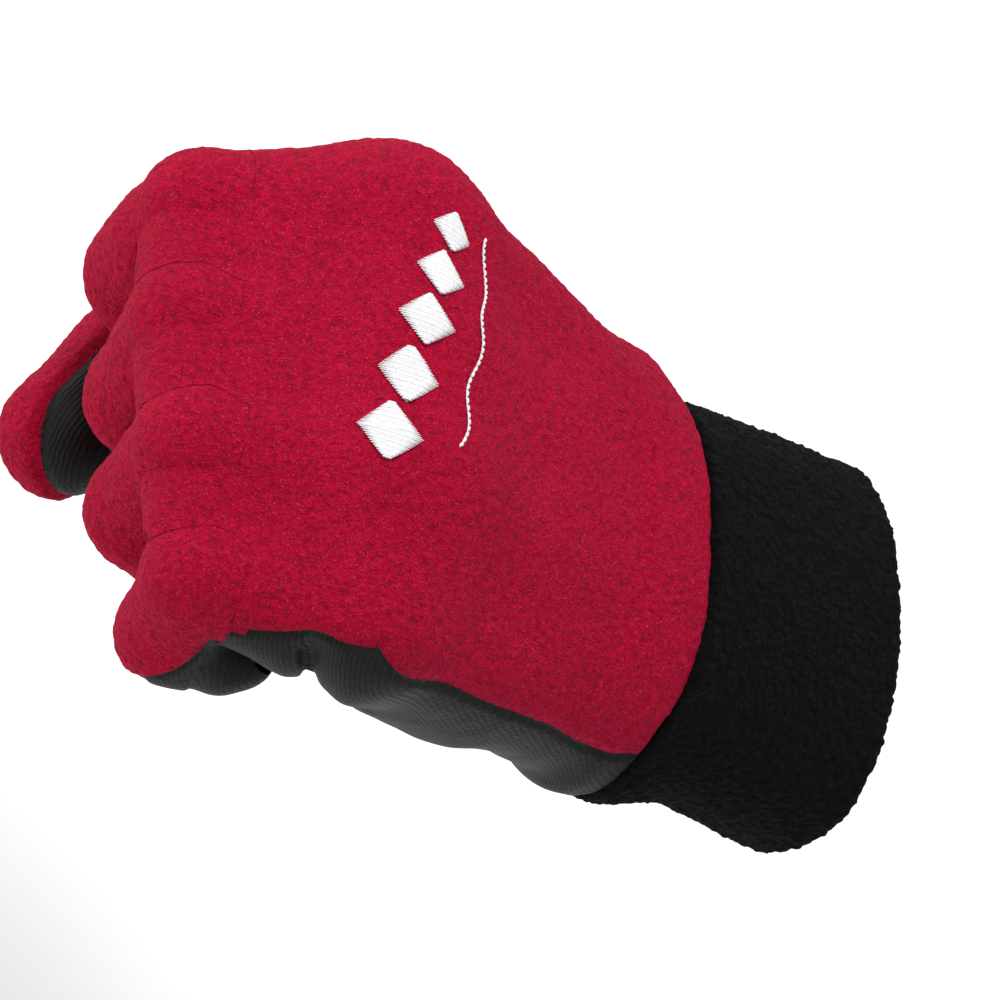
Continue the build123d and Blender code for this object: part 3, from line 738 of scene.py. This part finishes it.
def turned_weight(P, at, d_in, n_in, flex, lead, pinch, soft=0.0):
    """0 on the near side of a bend, 1 on the far side: spread round the outside, quick at the crease."""
    q = P - at
    phi = np.degrees(np.arctan2(q @ d_in, q @ n_in + soft * step01(q @ n_in, -8.0, 8.0)))
    w = np.clip((phi + lead) / (flex + 2 * lead), 0, 1)
    w = 0.5 * w + 0.5 * w * w * (3 - 2 * w)
    crease = -(180 - flex / 2)
    dl = np.where(phi >= 0, phi - crease - 360, phi - crease)
    p = np.clip(0.5 - dl / (2 * pinch), 0, 1)
    p = p * p * (3 - 2 * p)
    return np.where(phi >= 0, np.minimum(w, p), np.maximum(np.where(phi < -lead, 0, w), p))


def bend_piece(ob, a, b, pivot, weight):
    """Bakes the piece's transform and works out each point's weight across the joint, spread by where it lies round
    the bend; nothing applies the weight.
    """
    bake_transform(ob)
    co = np.empty(len(ob.data.vertices) * 3, np.float32)
    ob.data.vertices.foreach_get("co", co)
    w = weight(co.reshape(-1, 3).astype(float) * 1000)


# ------------------------------------------------------------------ hand and knuckle panels
lo = WRIST + vec(-122.5, -65.5, -65.5)
hi = WRIST + vec(3.0, 55.0, 31.5)
V, F = surface(palm_field, lo, hi, STEP)

seam_s = -(V @ A) - CUFF_LEN
V, F = refine(V, F, seam_s)
V, F = refine(V, F, WRIST[0] - 44.0 - V[:, 0])


def finger_trim(P):
    """Positive where a finger piece takes over from the hand's own sheet."""
    out = np.full(len(P), -9.0)
    for f in NAMES:
        out = np.maximum(out, np.minimum((P - PIP[f]) @ D1 + CUT, 0.15 - finger_field(f)(P)))
    return out


V, F = refine(V, F, finger_trim(V))


def thumb_trim(P):
    """Positive where the thumb piece takes over from the hand's own sheet."""
    gate = np.minimum((P - THUMB_CUT) @ TD0, 0.7 - thumb_field(P))
    return np.where((thumb_side(P)[1] < 19.5) & (P[:, 2] < WRIST[2] - 14), gate, -5.0)


thumb_f = thumb_trim(V)
V, F = refine(V, F, np.where(np.abs(thumb_f) > 4, np.sign(thumb_f) * 4, thumb_f))
g = hand_seam(V)
V, F = refine(V, F, g)
V = project(palm_field, V, 1)
NB = slope(palm_field, V)
g = hand_seam(V)
seam_s = -(V @ A) - CUFF_LEN
edge_f = np.minimum(np.abs(g), seam_s)
is_fleece = g > 0
disp = np.where(is_fleece, fleece_relief(V, edge_f), leather_relief(V, edge_f))
on_line = np.abs(g) < 1e-3
disp[on_line] = -1.25
W = V + NB * disp[:, None]
N = vertex_normals(W, F)
C = V[F].mean(1)
tri_s = -(C @ A) - CUFF_LEN > 0
tri_far = C[:, 0] < WRIST[0] - 44.0
tri_lobe = finger_trim(C) > 0
tri_thumb = thumb_trim(C) > 0
tri_red = hand_seam(C) > 0
body = tri_s & ~tri_lobe & ~tri_thumb

hand_back = shell("hand_back_fleece", W, F, N, NB, body & ~tri_far & tri_red, 2.2, RED)
hand_palm = shell("hand_palm_leather", W, F, N, NB, body & ~tri_far & ~tri_red, 1.5, LEATHER)
knuckle_back = shell("knuckle_back_fleece", W, F, N, NB, body & tri_far & tri_red, 2.2, RED)
knuckle_palm = shell("knuckle_palm_leather", W, F, N, NB, body & tri_far & ~tri_red, 1.5, LEATHER)
for ob in (hand_back, hand_palm):
    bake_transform(ob)
for ob in (knuckle_back, knuckle_palm):
    bend_piece(ob, "hand", "knuckles", KN,
               lambda P: turned_weight(P, KN, direction(0), normal(0), FOLD, 42.0, 27.0, 14.0))
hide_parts("back_panel", "thumb_root_back")
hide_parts("palm_panel", "thumb_root_palm", "palm_lining")
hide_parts("knuckle_back", "index_middle_fourchette", "middle_ring_fourchette", "ring_little_fourchette")
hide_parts("knuckle_palm", "knuckle_lining")

# ------------------------------------------------------------------ fingers
for f in NAMES:
    field = finger_field(f)
    p1, p2, p3, a2, a3 = finger_points(f)
    pts = np.array([p1 - D1 * CUT, p1, p2, p3])
    r = R_PIP[f] + 3.5
    V, F = surface(field, pts.min(0) - r, pts.max(0) + r, STEP)
    start = -CUT - 3.0
    V, F = refine(V, F, (V - p1) @ D1 - start)
    gf = finger_seam(f)
    V, F = refine(V, F, gf(V))
    V = project(field, V, 1)
    NB = slope(field, V)
    g = gf(V)
    ahead = (V - p1) @ D1
    hidden = 0.55 * (1 - step01(ahead, -CUT - 0.8, -CUT + 0.1))
    disp = np.where(g > 0, fleece_relief(V, np.abs(g)), leather_relief(V, np.abs(g)))
    disp[np.abs(g) < 1e-3] = -1.25
    # behind the cut line the finger piece sinks in by up to 0.55 mm
    W = V + NB * (disp - hidden)[:, None]
    N = vertex_normals(W, F)
    C = V[F].mean(1)
    keep = (C - p1) @ D1 > start
    keep |= (C - p1) @ direction((FOLD + a2) / 2) > 0
    red = gf(C) > 0
    back = shell(f + "_finger_fleece", W, F, N, NB, keep & red, 1.7, RED)
    front = shell(f + "_finger_leather", W, F, N, NB, keep & ~red, 1.3, LEATHER)
    for ob in (back, front):
        bend_piece(ob, "knuckles", f + "_finger", joint_at(f + "_bend"),
                   lambda P, p=p1, x=FLEX[f], run=direction(a2): np.maximum(turned_weight(P, p, D1, N1, x, 25.0, 20.0), step01((P - p) @ run, 12.5, 15.5)))
    sides = [n for n in (f + "_radial_side", f + "_ulnar_side") if n in frame["nodes"]]
    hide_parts(f + "_back", *sides)
    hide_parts(f + "_front", f + "_lining")

# ------------------------------------------------------------------ thumb
V, F = surface(thumb_field, np.array([TB, TM, TT, THUMB_CUT]).min(0) - 19, np.array([TB, TM, TT, THUMB_CUT]).max(0) + 19, STEP)
V, F = refine(V, F, (V - (THUMB_CUT - TD0 * 4)) @ TD0)
split = TB + TD1 * 17.5
V, F = refine(V, F, (V - split) @ TD1)
gt = lambda P: thumb_side(P)[0] + 2.0
V, F = refine(V, F, gt(V))
V = project(thumb_field, V, 1)
NB = slope(thumb_field, V)
g = gt(V)
disp = np.where(g > 0, fleece_relief(V, np.abs(g)), leather_relief(V, np.abs(g)))
disp[np.abs(g) < 1e-3] = -1.25
hidden = 0.8 * (1 - step01((V - THUMB_CUT) @ TD0, -1.0, 0.6))
W = V + NB * (disp - hidden)[:, None]
N = vertex_normals(W, F)
C = V[F].mean(1)
alive = (C - (THUMB_CUT - TD0 * 4)) @ TD0 > 0
beyond = (C - split) @ TD1 > 0
red = gt(C) > 0
IP = unit(JOINT["thumb_bend"]["axis"])
SW = unit(JOINT["thumb_swing"]["axis"])


def across(v, axis):
    return unit(v - axis * (v @ axis))


def bend_frame(d_in, d_out, axis):
    """Directions for a bend about an axis: inward run, outside normal and bend angle."""
    a, b = across(d_in, axis), across(d_out, axis)
    ang = math.degrees(math.acos(np.clip(a @ b, -1, 1)))
    n = -(b - a * (a @ b))
    return a, unit(n), ang


for far, parts in ((False, ("thumb_base", "hand", "thumb", TB, bend_frame(TD0, TD1, SW))),
                   (True, ("thumb_end", "thumb", "thumb_end", TM, bend_frame(TD1, TD2, IP)))):
    word, a, b, at, (d_in, n_out, ang) = parts
    sel = alive & (beyond if far else ~beyond)
    back = shell(word + "_fleece", W, F, N, NB, sel & red, 1.9, RED)
    front = shell(word + "_leather", W, F, N, NB, sel & ~red, 1.4, LEATHER)
    for ob in (back, front):
        bend_piece(ob, a, b, at, lambda P, at=at, d=d_in, n=n_out, x=ang: turned_weight(P, at, d, n, x, 28.0, 20.0))
    if far:
        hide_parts("thumb_tip_back")
        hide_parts("thumb_tip_front", "thumb_tip_lining")
    else:
        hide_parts("thumb_back")
        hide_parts("thumb_front")

# ------------------------------------------------------------------ cuff
def ring_point(s, u, w, d, p=2.35):
    c, q = math.cos(u), math.sin(u)
    k = (abs(c) ** p + abs(q) ** p) ** (-1 / p)
    return c * k * w, q * k * d


def cuff_mesh(name, path, material, pitch, relief):
    """Turned strip: path is a list of (s, offset) from the outer oval, closed round the section."""
    nu = int(196 / pitch)
    us = np.linspace(0, 2 * math.pi, nu, endpoint=False)
    path = np.array(path, float)
    seg = np.linalg.norm(np.diff(np.vstack([path, path[:1]]), axis=0), axis=1)
    at = np.concatenate([[0], np.cumsum(seg)])
    nv = int(at[-1] / pitch)
    tv = np.linspace(0, at[-1], nv, endpoint=False)
    loop = np.vstack([path, path[:1]])
    s, off = np.interp(tv, at, loop[:, 0]), np.interp(tv, at, loop[:, 1])
    c, q = np.cos(us), np.sin(us)
    k = (np.abs(c) ** 2.35 + np.abs(q) ** 2.35) ** (-1 / 2.35)
    t = np.clip(s / CUFF_LEN, 0, 1)
    w, d = 36.1 + (33.8 - 36.1) * t, 23.6 + (22.6 - 23.6) * t
    Y = (w[:, None] + off[:, None]) * (c * k)[None]
    Z = (d[:, None] + off[:, None]) * (q * k)[None]
    Pt = -A * s[:, None, None] + ACROSS * Y[..., None] + DEEP * Z[..., None]
    Pt = Pt.reshape(-1, 3)
    radial = Pt - A * (Pt @ A)[:, None]
    Pt = Pt + radial / np.linalg.norm(radial, axis=1)[:, None] * swell(Pt)[:, None]
    i, j = np.meshgrid(np.arange(nv), np.arange(nu), indexing="ij")
    i2, j2 = (i + 1) % nv, (j + 1) % nu
    Q = np.stack([i * nu + j, i2 * nu + j, i2 * nu + j2, i * nu + j2], -1).reshape(-1, 4)
    T = np.concatenate([Q[:, :3], Q[:, [0, 2, 3]]])
    Nn = vertex_normals(Pt, T)
    mid_line = Pt.mean(0)
    vol = (Pt[T[:, 0]] * np.cross(Pt[T[:, 1]], Pt[T[:, 2]])).sum() / 6
    if vol < 0:
        Q = Q[:, ::-1]
        Nn = -Nn
    Pt = Pt + Nn * relief(Pt, np.repeat(s, nu), np.repeat(off, nu))[:, None]
    return make(name, Pt, Q, material)


def arc(cs, co, r, a0, a1, n=8):
    return [(cs + r * math.cos(math.radians(a)), co + r * math.sin(math.radians(a))) for a in np.linspace(a0, a1, n)]


def boa_relief(P, s, off):
    f1, f2 = cells(P, 1.75, 1)
    g1, _ = cells(P, 1.1, 2)
    curl = 0.80 * (0.60 - f1) + 0.45 * (0.55 - g1)
    slow = 0.45 * noise(P, 14.0, 8) + 0.22 * noise(P, 5.5, 9)
    return curl + slow * np.clip(s / 4 + 0.6, 0, 1)


PB = 0.55
R = 2.1
outer_path = (arc(R, -R, R, 180, 90) + [(CUFF_LEN - 1.6, 0.0)] + arc(CUFF_LEN - 1.6, -1.4, 1.4, 90, 0, 5) + [(CUFF_LEN - 0.2, -2.4), (R + 1, -2.6)] +
              [(R + 1, -4.2)] + arc(R, -4.2 + R, R, 270, 180, 8)[:-1])
cuff_outer = cuff_mesh("cuff_boa", outer_path, BOA, PB, boa_relief)
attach(cuff_outer, "cuff")
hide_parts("cuff_outer")
hem_path = [(2.9, -2.9), (25.0, -2.9), (25.6, -3.6), (25.0, -4.5), (2.9, -4.5), (2.3, -3.7)]
cuff_hem = cuff_mesh("cuff_folded_hem", hem_path, BOA, 0.9, lambda P, s, off: 0.35 * (0.55 - cells(P, 1.5, 3)[0]) + 0.15 * noise(P, 6.0, 8))
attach(cuff_hem, "cuff")
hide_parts("cuff_hem", "wrist_elastic")
allow_path = [(CUFF_LEN - 7, -2.9), (CUFF_LEN + 4, -2.9), (CUFF_LEN + 4, -3.7), (CUFF_LEN - 7, -3.7)]
allowance = cuff_mesh("cuff_seam_allowance_strip", allow_path, BOA, 0.9, lambda P, s, off: 0.2 * (0.5 - cells(P, 1.5, 4)[0]))
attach(allowance, "cuff")
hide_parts("cuff_seam_allowance")

# ------------------------------------------------------------------ lining seen through the opening
V, F = surface(lambda P: palm_field(P) + 3.6, lo, hi, 1.6)
V, F = refine(V, F, -(V @ A) - (CUFF_LEN - 3.5))
V, F = refine(V, F, WRIST[0] - 43.0 - V[:, 0])
C = V[F].mean(1)
NB = vertex_normals(V, F)
W = V + NB * (0.18 * noise(V, 4.0, 12))[:, None]
NL = vertex_normals(W, F)
keep = (-(C @ A) > CUFF_LEN - 3.5) & (C[:, 0] > WRIST[0] - 43.0) & (thumb_side(C)[1] > -1)
lining = shell("hand_lining", W, F, NL, NB, keep, 0.9, LINING)
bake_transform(lining)
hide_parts("back_lining")

# ------------------------------------------------------------------ embroidery: satin-stitched lozenges and a running line
SLOPE = (36.0 - 0.6 - 29.0) / 2


def on_skin(P):
    """Drops points on to the fleece, along its own slope."""
    P = P.copy()
    for _ in range(5):
        n = slope(palm_field, P)
        P = P - n * palm_field(P)[:, None]
    n = slope(palm_field, P)
    relief = 0.34 * noise(P, 17.0, 3) + 0.16 * noise(P, 6.5, 4)
    return P + n * relief[:, None], n


def tube(path, normals, width, height, sides=6):
    """A thread lying on its normals: flattened section, pointed ends."""
    path = np.asarray(path)
    n = len(path)
    tang = np.gradient(path, axis=0)
    tang /= np.linalg.norm(tang, axis=1)[:, None] + 1e-9
    side = np.cross(tang, normals)
    side /= np.linalg.norm(side, axis=1)[:, None] + 1e-9
    a = np.linspace(0, 2 * math.pi, sides, endpoint=False)
    end = np.minimum(np.arange(n), np.arange(n)[::-1])
    fat = np.where(end == 0, 0.45, 1.0)
    ring = (path[:, None] + side[:, None] * (np.cos(a) * width / 2)[None, :, None] * fat[:, None, None]
            + normals[:, None] * (np.sin(a) * height / 2)[None, :, None] * fat[:, None, None])
    Pv = ring.reshape(-1, 3)
    Fs = []
    for i in range(n - 1):
        for j in range(sides):
            k = (j + 1) % sides
            Fs.append((i * sides + j, i * sides + k, (i + 1) * sides + k))
            Fs.append((i * sides + j, (i + 1) * sides + k, (i + 1) * sides + j))
    for base, flip in ((0, True), ((n - 1) * sides, False)):
        for j in range(1, sides - 1):
            tri = (base, base + j, base + j + 1)
            Fs.append(tri[::-1] if flip else tri)
    Fs = np.array(Fs)[:, ::-1]
    return Pv, Fs


def mark_point(y, t):
    """y across the knuckles, t mm towards the finger tips from the knuckle line, above the skin."""
    return KN + D1 * t + N1 * 21.0 + vec(0, y, 0)


def satin(center_y, center_t, half_y, half_t, slant):
    """Lozenge filled with parallel threads."""
    parts = []
    pitch = 0.36
    k = int(2 * half_y / pitch)
    for i in range(k + 1):
        y = -half_y + 2 * half_y * i / k
        reach = half_t * (1 - abs(y) / half_y) ** 0.9
        if reach < 0.5:
            continue
        ts = np.linspace(-reach, reach, 7)
        pts = np.array([mark_point(center_y + y + slant * t, center_t + t) for t in ts])
        P, n = on_skin(pts)
        lift = 0.28 + 0.42 * np.sqrt(np.clip(1 - (ts / (reach + 0.2)) ** 2, 0, 1)) + 0.05 * math.sin(i * 2.4)
        parts.append(tube(P + n * lift[:, None], n, 0.40, 0.42))
    return parts


def gather(parts):
    Vs, Fs, at = [], [], 0
    for P, T in parts:
        Vs.append(P)
        Fs.append(T + at)
        at += len(P)
    return np.concatenate(Vs), np.concatenate(Fs)


threads, under = [], []
MARKS = [(-23.5, 4.6, 6.2, 6.2), (-12.0, 2.0, 5.6, 5.8), (-1.2, -0.4, 5.0, 5.4), (8.6, -2.4, 4.5, 4.9), (17.4, -4.2, 3.9, 4.4)]
for y, t, hy, ht in MARKS:
    threads += satin(y, t, hy, ht, 0.18)
line = []
ys = np.linspace(-23.5, 22.5, 140)
for i in range(0, len(ys) - 5, 4):
    seg = ys[i:i + 5]
    pts = np.array([mark_point(y, -12.6 - 0.13 * y + 0.9 * math.sin(y * 0.42)) for y in seg])
    P, n = on_skin(pts)
    lift = 0.10 + 0.30 * np.sin(np.linspace(0.15, math.pi - 0.15, 5))
    line.append(tube(P + n * lift[:, None], n, 0.62, 0.45))
V, F = gather(threads + line)
marks = make("knuckle_satin_embroidery", V, F, THREAD)
bend_piece(marks, "hand", "knuckles", KN, lambda P: turned_weight(P, KN, direction(0), normal(0), FOLD, 42.0, 27.0, 14.0))
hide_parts("embroidery")


def lozenge_pad(y0, t0, hy, ht, slant):
    """Stabiliser behind a lozenge, a thin closed plate under the threads."""
    n = 9
    top = []
    for i in range(n):
        for j in range(n):
            a, b = -1 + 2 * i / (n - 1), -1 + 2 * j / (n - 1)
            y, t = (a + b) / 2 * hy * 0.93, (a - b) / 2 * ht * 0.93
            top.append(mark_point(y0 + y + slant * t, t0 + t))
    P, nn = on_skin(np.array(top))
    Vp = np.concatenate([P + nn * 0.22, P - nn * 0.35])
    Fp = []
    m = n * n
    for i in range(n - 1):
        for j in range(n - 1):
            a, b, c, d = i * n + j, (i + 1) * n + j, (i + 1) * n + j + 1, i * n + j + 1
            Fp += [(a, b, c), (a, c, d), (m + a, m + c, m + b), (m + a, m + d, m + c)]
    loop = [j for j in range(n)] + [i * n + n - 1 for i in range(1, n)] + [(n - 1) * n + j for j in range(n - 2, -1, -1)] + [i * n for i in range(n - 2, 0, -1)]
    for a, b in zip(loop, loop[1:] + loop[:1]):
        Fp += [(a, b, m + b), (a, m + b, m + a)]
    return Vp, np.array(Fp)


V, F = gather([lozenge_pad(y, t, hy, ht, 0.18) for y, t, hy, ht in MARKS])
backing = make("embroidery_stabiliser", V, F, BACKING, smooth=False)
bend_piece(backing, "hand", "knuckles", KN, lambda P: turned_weight(P, KN, direction(0), normal(0), FOLD, 42.0, 27.0, 14.0))
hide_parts("embroidery_backing")

# ------------------------------------------------------------------ stage, light, camera
lo_v, hi_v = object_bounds()
size = 6.0
bpy.ops.mesh.primitive_plane_add(size=size, location=((lo_v.x + hi_v.x) / 2, (lo_v.y + hi_v.y) / 2, CAD_BOX[0][2] - 0.075))
floor = bpy.context.object
floor.name = "floor"
fm, fnt, fb = new_material("floor_pale")
fb.inputs["Base Color"].default_value = (0.93, 0.93, 0.93, 1)
fb.inputs["Roughness"].default_value = 0.9
fb.inputs["Emission Color"].default_value = (1, 1, 1, 1)
fb.inputs["Emission Strength"].default_value = 0.30
fb.inputs["Specular IOR Level"].default_value = 0.1
floor.data.materials.append(fm)

AIM = (WRIST - RIGHT * 25.8 + UP * 15.4) * 0.001
DIST = 3.0
cam = bpy.data.cameras.new("camera")
cam_ob = bpy.data.objects.new("camera", cam)
bpy.context.scene.collection.objects.link(cam_ob)
cam_ob.matrix_world = Matrix([[RIGHT[i], UP[i], BACK[i], AIM[i] + BACK[i] * DIST] for i in range(3)] + [[0, 0, 0, 1]])
cam.sensor_width = 36.0
cam.lens = 36.0 * DIST / (1.0 / 5.89)
cam.clip_start, cam.clip_end = 0.1, 40
bpy.context.scene.camera = cam_ob


def area(name, where, power, size_m, tint=(1, 1, 1)):
    """Soft box placed in the camera's own right, up and back directions, aimed at the glove."""
    l = bpy.data.lights.new(name, "AREA")
    l.energy, l.size, l.color = power, size_m, tint
    ob = bpy.data.objects.new(name, l)
    bpy.context.scene.collection.objects.link(ob)
    at = AIM + (RIGHT * where[0] + UP * where[1] + BACK * where[2])
    ob.location = at
    ob.rotation_mode = "QUATERNION"
    ob.rotation_quaternion = (Vector(AIM) - Vector(at)).to_track_quat("-Z", "Y")
    return ob


area("key", (0.35, 0.95, 0.85), 15, 0.8)
area("left_fill", (-1.0, 0.25, 0.55), 2.5, 0.9)
area("right_fill", (0.95, -0.25, 0.75), 2.5, 0.9)
world = bpy.data.worlds.new("world")
bpy.context.scene.world = world
world.use_nodes = True
world.node_tree.nodes["Background"].inputs["Color"].default_value = (1, 1, 1, 1)
world.node_tree.nodes["Background"].inputs["Strength"].default_value = 0.42
bpy.context.scene.view_settings.view_transform = "Standard"
bpy.context.scene.view_settings.look = "None"
